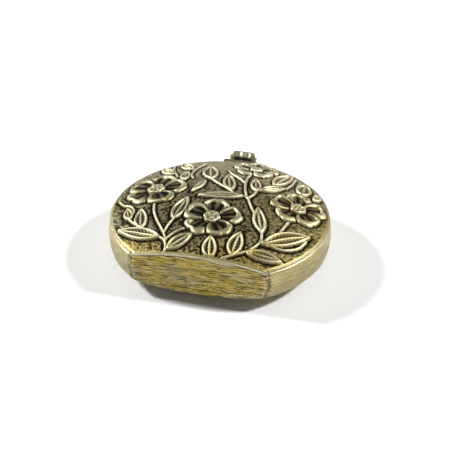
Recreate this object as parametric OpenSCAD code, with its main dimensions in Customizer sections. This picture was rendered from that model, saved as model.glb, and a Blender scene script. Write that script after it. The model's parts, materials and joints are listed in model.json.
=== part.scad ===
// Needle case: a round metal box, domed on both faces, with one flat side.
// The embossed lid is hinged at the back, above a small bail that swings on its own pin.
// Inside are a stuffed cushion, two flannel leaves for needles and a felt lid lining.
// Millimetres. +Z is up, the flat side faces -Y and the bail points to +Y.
// The origin is the centre of the flat foot on the back plate.

/* [Case] */
// Largest radius of the case, half way up its side
case_r = 25.4; // [24:0.1:27]
// Distance from the centre to the flat front face
flat_y = 20.3; // [19:0.1:21]
// Height of the side between its lower and upper edges
side_h = 7.2; // [6:0.1:8]
// Radius of the barrel curve of the side, seen in section
barrel_r = 14; // [9:1:20]
// Thickness of the flat front wall
wall_t = 0.8; // [0.7:0.1:1]
// Thickness of the domed plates
plate_t = 0.5; // [0.4:0.05:0.55]

/* [Lid] */
// Rise of the domed lid above the upper edge of the side
lid_rise = 4.4; // [4.2:0.1:5.5]
// Height of the lid's rim, from the dome's edge down to the parting line
lid_rim_h = 0.7; // [0.6:0.1:0.9]
// Gap between the lid's rim and the collar it closes over
lid_gap = 0.15; // [0.1:0.05:0.2]
// Height of the embossed flowers and leaves above the dome
relief_h = 0.5; // [0.3:0.1:0.7]

/* [Back] */
// Rise of the domed back below the lower edge of the side, if it had no foot
back_rise = 4.5; // [4:0.1:5.5]
// Depth of the flat foot that is cut off the back dome
foot_cut = 1; // [0.6:0.1:1.2]

/* [Hinge] */
// Place of the hinge and the bail to the left of the middle
back_shift = 1; // [0:0.5:1.5]
// Length of the whole hinge barrel
hinge_len = 8; // [6:0.5:8]
// Outer radius of the hinge barrel
knuckle_r = 0.8; // [0.7:0.05:0.85]
// Radius of the hinge pin
pin_r = 0.35; // [0.3:0.05:0.4]
// Radial clearance between the pin and the lid's knuckles
pin_gap = 0.05; // [0.02:0.01:0.08]

/* [Thumb notch] */
// How far the notch in the front wall drops below the parting line
thumb_drop = 0.5; // [0.3:0.1:1.3]
// Place of the notch to the right of the middle
thumb_x = 6; // [0:1:7]

/* [Bail] */
// Outside width of the bail at its pin
bail_w = 7.6; // [7:0.2:8]
// Outside width of the bail at its far end
bail_end_w = 6; // [5.4:0.2:6.4]
// Distance from the pin's axis to the far end
bail_len = 4.3; // [3.8:0.1:5]
// Thickness of the bail, across its plane
bail_h = 1.2; // [1:0.1:1.4]
// Width of the two legs
bail_t = 0.7; // [0.6:0.1:0.8]
// Lean of the bail above the horizontal
bail_lean = 50; // [20:5:50]

/* [Inside] */
// Height of the cushion's top above the lower edge of the side
cushion_rise = 1.9; // [1.4:0.1:2.2]
// Thickness of one flannel leaf
leaf_t = 0.4; // [0.3:0.05:0.5]
// Thickness of the felt that lines the lid
lining_t = 0.6; // [0.4:0.1:0.8]

/* [Hidden] */
$fn = 96;
dome_fn = 240;
eps = 0.01;

// Heights of the side's edges, its middle and the line where the lid parts
side_low = back_rise - foot_cut;
side_top = side_low + side_h;
side_mid = (side_low + side_top) / 2;
part_z = side_top - lid_rim_h;

// The barrel curve draws the side in at its edges
function side_r(z) = case_r - barrel_r + sqrt(pow(barrel_r, 2) - pow(z - side_mid, 2));
rim_r = side_r(side_top);

// Spheres of the two domes, each through the edge of the side
function cap_r(rise) = (pow(rim_r, 2) + pow(rise, 2)) / (2 * rise);
lid_sphere_r = cap_r(lid_rise);
lid_sphere_z = side_top + lid_rise - lid_sphere_r;
back_sphere_r = cap_r(back_rise);
back_sphere_z = back_sphere_r - foot_cut;

// Insides: the band, the collar within it, and the lid's rim that closes over the collar
band_in = rim_r - wall_t;
collar_t = 0.5;
collar_low = part_z - 3;
collar_top = part_z + 0.3;
lid_in = band_in + lid_gap;
lip_y = flat_y - wall_t + lid_gap;
rim_slit = 0.05;
solder_gap = 0.02;

// The hinge axis lies on the parting line, just outside the case
hinge_y = side_r(part_z) + 0.25;
knuckle_gap = 0.1;
knuckle_len = (hinge_len - 4 * knuckle_gap) / 5;
pin_head_r = 0.55;
pin_head_t = 0.25;

// The notch is an arc, below the bowed top edge of the flat front
thumb_r = 14;
lid_edge_z = lid_sphere_z + sqrt(pow(lid_sphere_r, 2) - pow(flat_y, 2) - pow(thumb_x, 2));
thumb_z = lid_edge_z - lid_rim_h - thumb_drop;

// The bail's pin lies below the hinge, in a lug on the side
bail_y = case_r + 0.9;
bail_z = part_z - 1.9;
bail_eye_r = 0.8;
bail_crown = 1.45;
bail_corner = 0.8;
bail_gap = 0.1;
bail_inner_corner = 0.3;
lug_gap = 0.4;
lug_neck = 1;

// The catch: a sprung strip behind the front collar, and the lid's lug in front of it
catch_w = 7;
spring_t = 0.3;
nib_r = 0.3;
lug_t = 0.5;
lug_low = part_z - 0.5;
catch_gap = 0.05;

// The textile inside
cushion_top = side_low + cushion_rise;
cushion_gap = 0.25;
cushion_slack = 0.4;
cushion_r = band_in - collar_t - cushion_slack;
leaf_r = 21.4;
leaf_front = 0.78;
leaf_step = 0.8;
leaf_gap = 0.1;
stitch_r = 0.22;
stitch_len = 2;
stitch_step = 2.6;
stitch_inset = 3;
stitch_bow = 0.25;
lining_r = band_in - collar_t - 1.2;
lining_y = flat_y - 3.4;

brass = "#a3965f";
worn_brass = "#b5a874";
dark_brass = "#857a4c";
felt_wine = "#6d2230";
flannel_cream = "#d8cdae";
thread = "#3f4a3a";

// Flowers of the lid: x, y, radius over the petals, turn in degrees
flowers = [[0, -7.5, 6.4, 90], [-16, 3, 6.6, 80], [17.5, 3, 6.4, 95], [4.5, 18.5, 5.2, 80]];

// Leaves of the lid: x, y, length, direction in degrees
leaves = [
    [-14.5, -14.5, 11, 165], [-16, -9.5, 7.5, 110], [-20, -7, 4.5, 110], [-8.5, -5.5, 8, 75],
    [-5, -17, 6.5, 45], [2, -17, 5, 95], [7, -15, 7, 85], [10.5, -5.5, 8, 107],
    [-0.5, 1, 9, 188], [0, 8, 8, 105], [-6, 13, 7.5, 100], [6.5, 9, 6.5, 98],
    [11, 16, 9, 72], [17, 12.5, 6, 90], [18, -10, 10.5, 30], [14, -16, 8.5, -5], [-10.5, 10.5, 5, 75]
];

// Half of everything: the space on the case's side of a plane at y = -depth
module in_front(depth, z0 = -1, z1 = 20) {
    translate([-case_r - 1, -depth, z0]) cube([2 * case_r + 2, 2 * case_r + depth, z1 - z0]);
}

// Round block with one flat side at y = -depth
module d_block(r, depth, z0, z1) {
    intersection() {
        translate([0, 0, z0]) cylinder(r = r, h = z1 - z0);
        in_front(depth, z0 - 1, z1 + 1);
    }
}

// The barrel-sided ring that all the walls are cut from
module barrel() {
    translate([0, 0, side_mid]) rotate_extrude($fn = dome_fn) intersection() {
        translate([case_r - barrel_r, 0]) circle(r = barrel_r, $fn = dome_fn);
        translate([0, -side_h]) square([case_r, 2 * side_h]);
    }
}

module dome(r, z, inset = 0) {
    translate([0, 0, z]) sphere(r = r - inset, $fn = dome_fn);
}

module lid_dome(inset = 0) { dome(lid_sphere_r, lid_sphere_z, inset); }

module back_dome(inset = 0) { dome(back_sphere_r, back_sphere_z, inset); }

// Space inside the walls, open above and below
module bore(r, z0, z1) { translate([0, 0, z0 - eps]) cylinder(r = r, h = z1 - z0 + 2 * eps, $fn = dome_fn); }

// Cylinder along X from x0 to x1, about the line through y and z
module x_rod(r, y, z, x0, x1) {
    translate([x0 - back_shift, y, z]) rotate([0, 90, 0]) cylinder(r = r, h = x1 - x0);
}

module hinge_rod(r, x0, x1) { x_rod(r, hinge_y, part_z, x0, x1); }

module bail_rod(r, x0, x1) { x_rod(r, bail_y, bail_z, x0, x1); }

// What lies below the parting line along the flat front, which bows as the dome does
module below_lip() {
    difference() {
        translate([0, 0, -lid_rim_h]) lid_dome();
        translate([thumb_x, -case_r, thumb_z + thumb_r])
            rotate([-90, 0, 0]) cylinder(r = thumb_r, h = case_r - flat_y + wall_t + 1);
    }
}

// Left end of hinge knuckle i, counted from 0 to 4
function knuckle_x(i) = -hinge_len / 2 + i * (knuckle_len + knuckle_gap);

module knuckle(i, bore_r) {
    x0 = knuckle_x(i);
    difference() {
        hinge_rod(knuckle_r, x0, x0 + knuckle_len);
        hinge_rod(bore_r, x0 - 1, x0 + knuckle_len + 1);
    }
}

// Seat for knuckle i: a fit where it is soldered in, a clearance where it turns
module knuckle_seat(i, fixed) {
    room = fixed ? 0 : knuckle_gap;
    hinge_rod(knuckle_r + room, knuckle_x(i) - room, knuckle_x(i) + knuckle_len + room);
}

// Base -------------------------------------------------------------------------------

module back_plate() {
    color(dark_brass) difference() {
        intersection() {
            back_dome();
            d_block(band_in, flat_y - wall_t, 0, side_mid);
        }
        intersection() {
            back_dome(plate_t);
            translate([-case_r, -case_r, plate_t]) cube([2 * case_r, 2 * case_r, side_h + 5]);
        }
    }
}

module side_band() {
    color(brass) difference() {
        intersection() {
            barrel();
            back_dome();
            in_front(flat_y - wall_t, 0, part_z);
        }
        bore(band_in, 0, part_z);
        for (i = [0:4]) knuckle_seat(i, i % 2 == 0);
    }
}

module front_wall() {
    color(brass) intersection() {
        barrel();
        back_dome();
        translate([-case_r, -flat_y, 0]) cube([2 * case_r, wall_t, side_top + lid_rise]);
        below_lip();
    }
}

module inner_collar() {
    color(worn_brass) difference() {
        d_block(band_in, flat_y - wall_t, collar_low, collar_top);
        d_block(band_in - collar_t, flat_y - wall_t - collar_t, collar_low - 1, collar_top + 1);
    }
}

module base_knuckle_left() { color(worn_brass) knuckle(0, pin_r); }

module base_knuckle_middle() { color(worn_brass) knuckle(2, pin_r); }

module base_knuckle_right() { color(worn_brass) knuckle(4, pin_r); }

module hinge_pin() {
    half = hinge_len / 2;
    color(dark_brass) {
        hinge_rod(pin_r, -half - pin_head_t / 2, half + pin_head_t / 2);
        for (x = [-half - pin_head_t, half]) hinge_rod(pin_head_r, x, x + pin_head_t);
    }
}

// Tube that carries the bail's pin, on a neck that is soldered to the side
module bail_lug() {
    half = bail_w / 2 - bail_t - lug_gap;
    color(worn_brass) difference() {
        union() {
            bail_rod(bail_eye_r, -half, half);
            translate([-half - back_shift, case_r - 1, bail_z - lug_neck / 2])
                cube([2 * half, bail_y - case_r + 1, lug_neck]);
        }
        barrel();
        bail_rod(pin_r, -half - 1, half + 1);
    }
}

module bail_pin() {
    half = bail_w / 2 + bail_gap / 2;
    color(dark_brass) {
        bail_rod(pin_r, -half - eps, half + eps);
        for (x = [-half - pin_head_t, half]) bail_rod(pin_head_r, x, x + pin_head_t);
    }
}

// Tapered bar from y = 0 to y = len, with its two outer corners rounded
module bail_outline(w0, w1, len, corner) {
    polygon([
        [-w0 / 2, 0], [w0 / 2, 0], [w1 / 2, len - corner], [w1 / 2 - corner, len],
        [corner - w1 / 2, len], [-w1 / 2, len - corner]
    ]);
    for (s = [-1, 1]) translate([s * (w1 / 2 - corner), len - corner]) circle(r = corner);
}

// The bail, with an eye about the pin at the foot of each leg
module bail() {
    inner_w = bail_w - 2 * bail_t;
    color(worn_brass) difference() {
        union() {
            translate([-back_shift, bail_y, bail_z]) rotate([bail_lean, 0, 0])
                translate([0, 0, -bail_h / 2]) linear_extrude(bail_h) difference() {
                    bail_outline(bail_w, bail_end_w, bail_len, bail_corner);
                    translate([0, -eps]) bail_outline(
                        inner_w, bail_end_w - 2 * bail_t, bail_len - bail_crown, bail_inner_corner);
                }
            for (x = [-bail_w / 2, bail_w / 2 - bail_t]) bail_rod(bail_eye_r, x, x + bail_t);
        }
        bail_rod(pin_r + pin_gap, -bail_w, bail_w);
    }
}

// Sprung strip on the inside of the front collar, with a nib near its top
module catch_spring() {
    y0 = -(flat_y - wall_t - collar_t);
    color(worn_brass) {
        translate([-catch_w / 2, y0, collar_low]) cube([catch_w, spring_t, collar_top - collar_low]);
        translate([-catch_w / 4, y0 + spring_t, collar_top - nib_r]) rotate([0, 90, 0])
            intersection() {
                cylinder(r = nib_r, h = catch_w / 2);
                translate([-nib_r, 0, 0]) cube([2 * nib_r, nib_r, catch_w / 2]);
            }
    }
}

module needle_cushion() {
    depth = flat_y - wall_t - collar_t - spring_t - cushion_slack;
    color(felt_wine) intersection() {
        back_dome(plate_t + cushion_gap);
        d_block(cushion_r, depth, plate_t, cushion_top);
    }
}

module needle_leaf(i) {
    z0 = cushion_top + leaf_gap + i * (leaf_t + leaf_gap);
    r = leaf_r - i * leaf_step;
    color(flannel_cream) translate([0, i * leaf_step, 0]) d_block(r, r * leaf_front, z0, z0 + leaf_t);
}

module needle_leaf_lower() { needle_leaf(0); }

module needle_leaf_upper() { needle_leaf(1); }

// Short stitches that sew the leaves to the cushion along their back edge
module leaf_stitches() {
    z = cushion_top + 2 * (leaf_t + leaf_gap) + stitch_r;
    color(thread) for (i = [-2:2])
        translate([i * stitch_step - stitch_len / 2, leaf_r - stitch_inset - stitch_bow * pow(i, 2), z])
            rotate([0, 90, 0]) cylinder(r = stitch_r, h = stitch_len, $fn = 24);
}

// Lid --------------------------------------------------------------------------------

// Five round petals about a round centre
module flower_outline(r, turn) {
    petal_r = r * 0.4;
    for (i = [0:4]) rotate(turn + 72 * i) translate([r - petal_r, 0]) circle(r = petal_r);
    circle(r = r * 0.22);
}

// Pointed leaf about its middle, the overlap of two discs
module leaf_outline(len) {
    leaf_arc = len * 0.7;
    offset_y = sqrt(pow(leaf_arc, 2) - pow(len / 2, 2));
    intersection() {
        translate([0, offset_y]) circle(r = leaf_arc);
        translate([0, -offset_y]) circle(r = leaf_arc);
    }
}

// Flowers and leaves that stand up from the dome
module relief() {
    intersection() {
        lid_dome(-relief_h);
        d_block(lid_in, lip_y, part_z, side_top + lid_rise + relief_h + 1);
        linear_extrude(side_top + lid_rise + relief_h + 1) {
            for (f = flowers) translate([f[0], f[1]]) flower_outline(f[2], f[3]);
            for (l = leaves) translate([l[0], l[1]]) rotate(l[3]) leaf_outline(l[2]);
        }
    }
}

module lid_plate() {
    color(brass) difference() {
        union() {
            intersection() {
                lid_dome();
                d_block(lid_in, lip_y, part_z, side_top + lid_rise + 1);
            }
            relief();
        }
        lid_dome(plate_t);
    }
}

module lid_rim() {
    color(worn_brass) difference() {
        intersection() {
            barrel();
            lid_dome();
            in_front(lip_y, part_z, side_top + lid_rise);
        }
        bore(lid_in + solder_gap, part_z, side_top + lid_rise);
        for (i = [0:4]) knuckle_seat(i, i % 2 == 1);
        intersection() {
            translate([-case_r, -flat_y, 0]) cube([2 * case_r, wall_t + rim_slit, side_top]);
            below_lip();
        }
    }
}

// Strip along the flat front, which hangs into the thumb notch
module lid_front_lip() {
    color(worn_brass) difference() {
        intersection() {
            barrel();
            lid_dome();
            translate([-case_r, -flat_y, side_mid])
                cube([2 * case_r, flat_y - lip_y, side_h / 2 + lid_rise]);
        }
        below_lip();
    }
}

module lid_knuckle_left() { color(worn_brass) knuckle(1, pin_r + pin_gap); }

module lid_knuckle_right() { color(worn_brass) knuckle(3, pin_r + pin_gap); }

// Lug under the lid's front, which clicks past the nib of the catch spring
module catch_lug() {
    y0 = -(flat_y - wall_t - collar_t - spring_t - nib_r - catch_gap);
    color(worn_brass) intersection() {
        translate([-catch_w / 4, y0, lug_low]) cube([catch_w / 2, lug_t, lid_rise + 2]);
        lid_dome(plate_t);
    }
}

module lid_lining() {
    color(felt_wine) difference() {
        intersection() {
            lid_dome(plate_t);
            d_block(lining_r, lining_y, part_z, side_top + lid_rise);
        }
        lid_dome(plate_t + lining_t);
    }
}

back_plate();
side_band();
front_wall();
inner_collar();
base_knuckle_left();
base_knuckle_middle();
base_knuckle_right();
hinge_pin();
bail_lug();
bail_pin();
bail();
catch_spring();
needle_cushion();
needle_leaf_lower();
needle_leaf_upper();
leaf_stitches();
lid_plate();
lid_rim();
lid_front_lip();
lid_knuckle_left();
lid_knuckle_right();
catch_lug();
lid_lining();
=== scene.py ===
"""Looks of a round needle case: embossed lid, worn brass walls, small bail and a textile inside."""
import json
import math

import bpy
import numpy as np
from bpy.props import FloatProperty, FloatVectorProperty, PointerProperty
from mathutils import Matrix, Vector


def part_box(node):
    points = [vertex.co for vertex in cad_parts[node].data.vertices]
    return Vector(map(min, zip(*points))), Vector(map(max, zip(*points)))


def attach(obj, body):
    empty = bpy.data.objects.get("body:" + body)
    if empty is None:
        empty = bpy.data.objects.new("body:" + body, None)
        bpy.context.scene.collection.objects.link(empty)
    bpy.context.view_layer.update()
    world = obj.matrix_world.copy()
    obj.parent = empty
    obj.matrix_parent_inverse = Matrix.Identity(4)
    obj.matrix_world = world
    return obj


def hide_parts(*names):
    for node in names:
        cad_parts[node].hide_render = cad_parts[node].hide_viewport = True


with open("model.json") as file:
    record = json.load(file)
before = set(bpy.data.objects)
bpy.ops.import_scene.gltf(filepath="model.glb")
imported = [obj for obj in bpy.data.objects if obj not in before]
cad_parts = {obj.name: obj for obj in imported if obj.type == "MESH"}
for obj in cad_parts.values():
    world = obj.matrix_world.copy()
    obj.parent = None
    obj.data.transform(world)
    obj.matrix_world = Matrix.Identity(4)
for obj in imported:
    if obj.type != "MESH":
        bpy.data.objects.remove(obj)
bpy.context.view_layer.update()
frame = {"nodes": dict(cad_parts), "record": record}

bl_info = {
    "name": "Needle Case Looks",
    "version": (1, 0, 0),
    "blender": (4, 5, 0),
    "location": "View3D > Sidebar > Needle Case",
    "description": "Builds the embossed lid, walls, bail and textiles of a round needle case",
    "category": "Add Mesh",
}

MM = 0.001


# Sizes from the frame, in millimetres --------------------------------------------------

def box_mm(node):
    """Lowest and highest corner of a CAD node, in millimetres."""
    low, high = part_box(node)
    return np.array(low) / MM, np.array(high) / MM


def joint(name):
    """A joint's row in the record."""
    return next(j for j in frame["record"]["behaviour"]["joints"] if j["name"] == name)


BAND_HIGH = box_mm("side_band")[1]
WALL_LOW, WALL_HIGH = box_mm("front_wall")
LID_HIGH = box_mm("lid_plate")[1]
LIP_HIGH = box_mm("lid_front_lip")[1]
COLLAR_HIGH = box_mm("inner_collar")[1]
CUSHION_LOW, CUSHION_HIGH = box_mm("needle_cushion")
LINING_LOW, LINING_HIGH = box_mm("lid_lining")
BAIL_LOW, BAIL_HIGH = box_mm("bail")

CASE_R = float(BAND_HIGH[0])
PART_Z = float(BAND_HIGH[2])
FLAT_Y = -float(WALL_LOW[1])
WALL_IN_Y = -float(WALL_HIGH[1])
LIP_IN_Y = -float(LIP_HIGH[1])
BAND_IN = float(COLLAR_HIGH[1])
LID_IN = float(LID_HIGH[1])
HINGE_X, HINGE_Y, HINGE_Z = (c / MM for c in joint("lid_hinge")["pos_m"])
BAIL_Y, BAIL_Z = (c / MM for c in joint("bail_swing")["pos_m"][1:])
BARREL_R = 14.0
RIM_H = 0.7
THUMB_X, THUMB_DROP, THUMB_R = 6.0, 0.5, 14.0
SIDE_TOP = PART_Z + RIM_H
SIDE_HALF = 3.6
SIDE_MID = SIDE_TOP - SIDE_HALF
LID_RISE = float(LID_HIGH[2]) - 0.5 - SIDE_TOP
BACK_RISE = 4.5
FOOT_CUT = 1.0
FLAT_HALF = 15.0
SEAT_HALF, SEAT_R = 4.3, 0.85
LINER_GAP = 0.75


def side_radius(z):
    """Radius of the barrel-shaped side at height z: an arc about the middle of the side."""
    return CASE_R - BARREL_R + np.sqrt(BARREL_R ** 2 - (z - SIDE_MID) ** 2)


EDGE_R = float(side_radius(SIDE_TOP))
LID_SPHERE = (EDGE_R ** 2 + LID_RISE ** 2) / (2 * LID_RISE)
BACK_SPHERE = (EDGE_R ** 2 + BACK_RISE ** 2) / (2 * BACK_RISE)


def lid_dome(x, y, inset=0.0):
    """Height of the lid's dome: a sphere through the upper edge of the side, made smaller by inset."""
    return SIDE_TOP + LID_RISE - LID_SPHERE + np.sqrt((LID_SPHERE - inset) ** 2 - x ** 2 - y ** 2)


def back_dome(x, y, inset=0.0):
    """Height of the back: a sphere through the side's lower edge, flat at the foot."""
    curve = BACK_SPHERE - FOOT_CUT - np.sqrt((BACK_SPHERE - inset) ** 2 - x ** 2 - y ** 2)
    return np.maximum(curve, inset)


# Settings ------------------------------------------------------------------------------

def colour(name, words, value):
    """A colour setting."""
    return FloatVectorProperty(name=name, description=words, default=value, size=3, min=0, max=1, subtype="COLOR")


def length(name, words, value):
    """A length setting, in metres."""
    return FloatProperty(name=name, description=words, default=value * MM, min=0, unit="LENGTH", subtype="DISTANCE")


class NeedleCaseSizes(bpy.types.PropertyGroup):
    """Sizes of the embossing and the small details."""
    relief: length("Relief", "Height of the flowers and leaves above the lid's dome", 0.62)
    stipple: length("Stipple", "Depth of the punched ground between the flowers", 0.07)
    bead: length("Edge bead", "Bulge of the rim round the lid's edge", 0.05)
    wear: length("Dents", "Depth of the shallow dents of long wear", 0.05)
    tooth: length("Pinking", "Depth of the zigzag cut along the flannel's edge", 0.5)
    loft: length("Loft", "Rise of the flannel's loose front edges", 0.35)


class NeedleCaseColours(bpy.types.PropertyGroup):
    """Colours of the metals and the textiles."""
    # Bright metal serves both for worn high spots and for painted highlights on ridges and edges.
    bright: colour("Bright metal", "Rubbed metal on the raised edges", (0.79, 0.74, 0.54))
    olive: colour("Aged metal", "Olive tone of the untouched metal", (0.27, 0.24, 0.115))
    gold: colour("Gilding", "Warm gilding left on the walls", (0.38, 0.285, 0.055))
    # The tarnish colour serves both for oxide and for painted shade beside the lid's motifs and on the bail's inner
    # edge.
    tarnish: colour("Tarnish", "Near-black oxide in the recesses", (0.010, 0.008, 0.004))
    steel: colour("Steel", "Dull steel of the pins", (0.40, 0.39, 0.37))
    wine: colour("Wine pile", "Velvet of the cushion and felt of the lining", (0.16, 0.016, 0.03))
    cream: colour("Cream flannel", "Wool flannel of the needle leaves", (0.60, 0.52, 0.38))
    thread: colour("Thread", "Green sewing thread", (0.07, 0.11, 0.06))
    floor: colour("Floor", "Pale paper that the case lies on", (0.93, 0.93, 0.93))


# Meshes --------------------------------------------------------------------------------

def new_piece(name, points, faces, node, body, tone=None):
    """A smooth mesh from points in millimetres, riding on a body in place of CAD nodes."""
    mesh = bpy.data.meshes.new(name)
    mesh.from_pydata((np.asarray(points) * MM).tolist(), [], faces)
    mesh.validate()
    mesh.update()
    mesh.polygons.foreach_set("use_smooth", np.ones(len(mesh.polygons), dtype=bool))
    if tone is not None:
        layer = mesh.attributes.new("tone", "FLOAT_COLOR", "POINT")
        layer.data.foreach_set("color", np.c_[tone, np.ones(len(points))].astype(np.float32).ravel())
    piece = bpy.data.objects.new(name, mesh)
    bpy.context.scene.collection.objects.link(piece)
    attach(piece, body)
    if node:
        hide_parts(*([node] if isinstance(node, str) else node))
    return piece


def grid_faces(rows, columns, closed=False, first=0):
    """Quads of a grid stored row by row; closed joins the last column to the first."""
    i, j = np.meshgrid(np.arange(rows - 1), np.arange(columns if closed else columns - 1), indexing="ij")
    k = (j + 1) % columns
    a, b = i * columns + j, i * columns + k
    return (first + np.stack([a, b, b + columns, a + columns], axis=-1).reshape(-1, 4)).tolist()


def loft(sections):
    """Closed tube through equal closed sections, shape (stations, points, 3), with flat ends."""
    stations, count = sections.shape[:2]
    points = sections.reshape(-1, 3)
    faces = grid_faces(stations, count, closed=True)
    faces.append(list(range(count))[::-1])
    faces.append([(stations - 1) * count + k for k in range(count)])
    return points, outward(points, faces)


def outward(points, faces):
    """Turns all faces round together if the closed shape's volume comes out negative.

    Each face is a fan of triangles, and each triangle adds the volume between it and the origin.
    """
    volume = 0.0
    for size in {len(face) for face in faces}:
        corners = points[np.array([face for face in faces if len(face) == size])]
        for k in range(1, size - 1):
            volume += np.einsum("ij,ij->", corners[:, 0], np.cross(corners[:, k], corners[:, k + 1]))
    return [face[::-1] for face in faces] if volume < 0 else faces


def disc_square(count):
    """Square grid spread evenly over the unit disc: rings of the square become rings of the disc."""
    u, v = np.meshgrid(np.linspace(-1, 1, count), np.linspace(-1, 1, count))
    wide = np.abs(u) > np.abs(v)
    safe_u, safe_v = np.where(u == 0, 1, u), np.where(v == 0, 1, v)
    turn = np.where(wide, math.pi / 4 * v / safe_u, math.pi / 2 - math.pi / 4 * u / safe_v)
    reach = np.where(wide, u, v)
    return reach * np.cos(turn), reach * np.sin(turn)


def d_reach(c, s, radius, depth):
    """Distance from the centre to the outline of a disc with one flat at y = -depth."""
    return np.where(s < 0, np.minimum(radius, depth / np.maximum(-s, 1e-9)), radius)


def d_grid(count, radius, depth):
    """The even disc grid, stretched to a disc with one flat side."""
    x, y = disc_square(count)
    r = np.hypot(x, y)
    safe = np.where(r == 0, 1, r)
    reach = d_reach(x / safe, y / safe, radius, depth)
    return x * reach, y * reach


def rim_loop(count):
    """Indices round the edge of a square grid, anticlockwise from its first corner."""
    n = count - 1
    k = np.arange(n)
    return np.concatenate([k, k * count + n, n * count + n - k, (n - k) * count])


def plate(x, y, top, under, shrink=(1, 0.83, 0.67, 0.5, 0.33, 0.17)):
    """Closed plate: an even grid for the worked face, and rings that shrink to a point on the other."""
    count = x.shape[0]
    points = [np.c_[x.ravel(), y.ravel(), top(x, y).ravel()]]
    faces = grid_faces(count, count)
    loop = rim_loop(count)
    ex, ey = x.ravel()[loop], y.ravel()[loop]
    rings, shrink = len(shrink), np.array(shrink)[:, None]
    rx, ry = shrink * ex, shrink * ey
    start = count * count
    points.append(np.c_[rx.ravel(), ry.ravel(), under(rx, ry).ravel()])
    size = len(loop)
    nxt = np.roll(np.arange(size), -1)
    skirt = np.stack([loop[nxt], loop, start + np.arange(size), start + nxt], axis=-1)
    faces += skirt.tolist()
    inner = np.array(grid_faces(rings, size, closed=True, first=start))
    faces += inner[:, ::-1].tolist()
    last = start + (rings - 1) * size
    centre = start + rings * size
    points.append([[0, 0, float(under(np.zeros(1), np.zeros(1))[0])]])
    faces += np.stack([last + nxt, last + np.arange(size), np.full(size, centre)], axis=-1).tolist()
    points = np.concatenate(points)
    return points, outward(points, faces)


def value_noise(x, y, cell, seed):
    """Smooth random field from -1 to 1: random values on a square lattice, blended between."""
    table = np.random.default_rng(seed).uniform(-1, 1, (64, 64))
    u, v = x / cell + 31.5, y / cell + 17.5
    i, j = np.floor(u).astype(int), np.floor(v).astype(int)
    a, b = u - i, v - j
    a, b = a * a * (3 - 2 * a), b * b * (3 - 2 * b)
    i0, i1, j0, j1 = i % 64, (i + 1) % 64, j % 64, (j + 1) % 64
    low = table[i0, j0] * (1 - a) + table[i1, j0] * a
    high = table[i0, j1] * (1 - a) + table[i1, j1] * a
    return low * (1 - b) + high * b


# Embossing -----------------------------------------------------------------------------

# Wild roses: centre, radius over the petals and turn in degrees
ROSES = [(4.3, 19.0, 5.4, 92), (-16.0, 3.0, 7.1, 83), (17.5, 3.0, 6.4, 98), (0.0, -7.8, 6.7, 90)]

# Leaves: foot, tip and half width
LEAVES = [
    ((-9.8, -15.8), (-20.4, -13.1), 1.7), ((-14.9, -13.1), (-16.9, -5.8), 1.5),
    ((-18.6, -9.8), (-20.4, -5.2), 1.1), ((-8.4, -9.8), (-7.2, -1.0), 1.6),
    ((-7.3, -19.3), (-2.8, -14.2), 1.6), ((2.6, -20.6), (1.3, -14.0), 1.6),
    ((7.0, -18.6), (7.4, -11.2), 1.7), ((11.8, -9.8), (9.0, -1.2), 1.5),
    ((4.9, 2.1), (-5.2, 0.0), 1.3), ((1.6, 3.8), (-0.9, 12.3), 1.5),
    ((-4.2, 8.7), (-6.4, 17.2), 1.9), ((7.2, 5.6), (5.7, 12.2), 1.3),
    ((10.3, 10.8), (12.9, 20.2), 1.8), ((17.2, 9.8), (16.9, 16.6), 1.8),
    ((12.7, -13.2), (22.0, -6.0), 2.0), ((9.8, -16.8), (17.9, -16.6), 1.5),
    ((-10.7, 7.4), (-10.9, 12.8), 1.2), ((-10.3, 14.3), (-14.0, 19.4), 1.5),
    ((-14.2, 11.0), (-18.0, 16.0), 1.3), ((-5.2, 7.4), (-7.2, 1.6), 0.9),
    ((8.0, 6.2), (12.9, 10.6), 1.3), ((20.3, 9.2), (20.8, 12.9), 1.0),
]

# Stems: points that a smooth curve runs through
STEMS = [
    [(-7.6, -20.4), (-7.8, -18.4), (-8.6, -16.7), (-9.9, -15.8)],
    [(-8.1, -17.6), (-9.0, -15.0), (-12.0, -10.2), (-13.6, -7.0), (-14.4, -4.0)],
    [(-9.3, -14.4), (-9.0, -12.0), (-8.4, -9.8)],
    [(-8.4, -16.5), (-7.0, -14.3), (-5.2, -12.8)],
    [(4.8, -20.2), (7.4, -18.3), (9.8, -16.5), (11.4, -14.4), (12.1, -12.2), (11.8, -9.8)],
    [(12.0, -13.0), (13.8, -11.0), (15.3, -8.4), (16.5, -3.5)],
    [(12.0, -13.3), (14.6, -13.3), (17.6, -13.0), (20.2, -11.0), (21.4, -8.0)],
    [(8.6, -3.6), (7.1, -0.7), (6.1, 1.6), (5.0, 4.0), (4.1, 7.6), (3.7, 11.5), (4.0, 14.5)],
    [(6.1, 1.6), (6.9, 3.6), (7.2, 5.6)],
    [(6.3, 1.2), (5.6, 1.9), (4.9, 2.1)],
    [(2.6, 2.5), (1.5, 3.8), (-1.2, 5.9), (-4.2, 8.7)],
    [(3.8, 8.8), (1.8, 11.0), (-0.3, 13.0), (-1.4, 15.0)],
    [(-14.9, -13.0), (-16.8, -11.5), (-18.6, -9.8)],
    [(-18.7, -9.4), (-18.5, -6.6), (-19.7, -4.7), (-21.6, -3.8), (-23.4, -1.8)],
    [(-12.6, 9.4), (-13.6, 11.6), (-15.0, 14.8), (-15.6, 18.0)],
    [(-8.7, 8.8), (-9.6, 11.0), (-9.4, 15.0), (-8.3, 19.0)],
    [(13.2, 10.6), (13.9, 13.8), (14.0, 18.0)],
]


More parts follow.
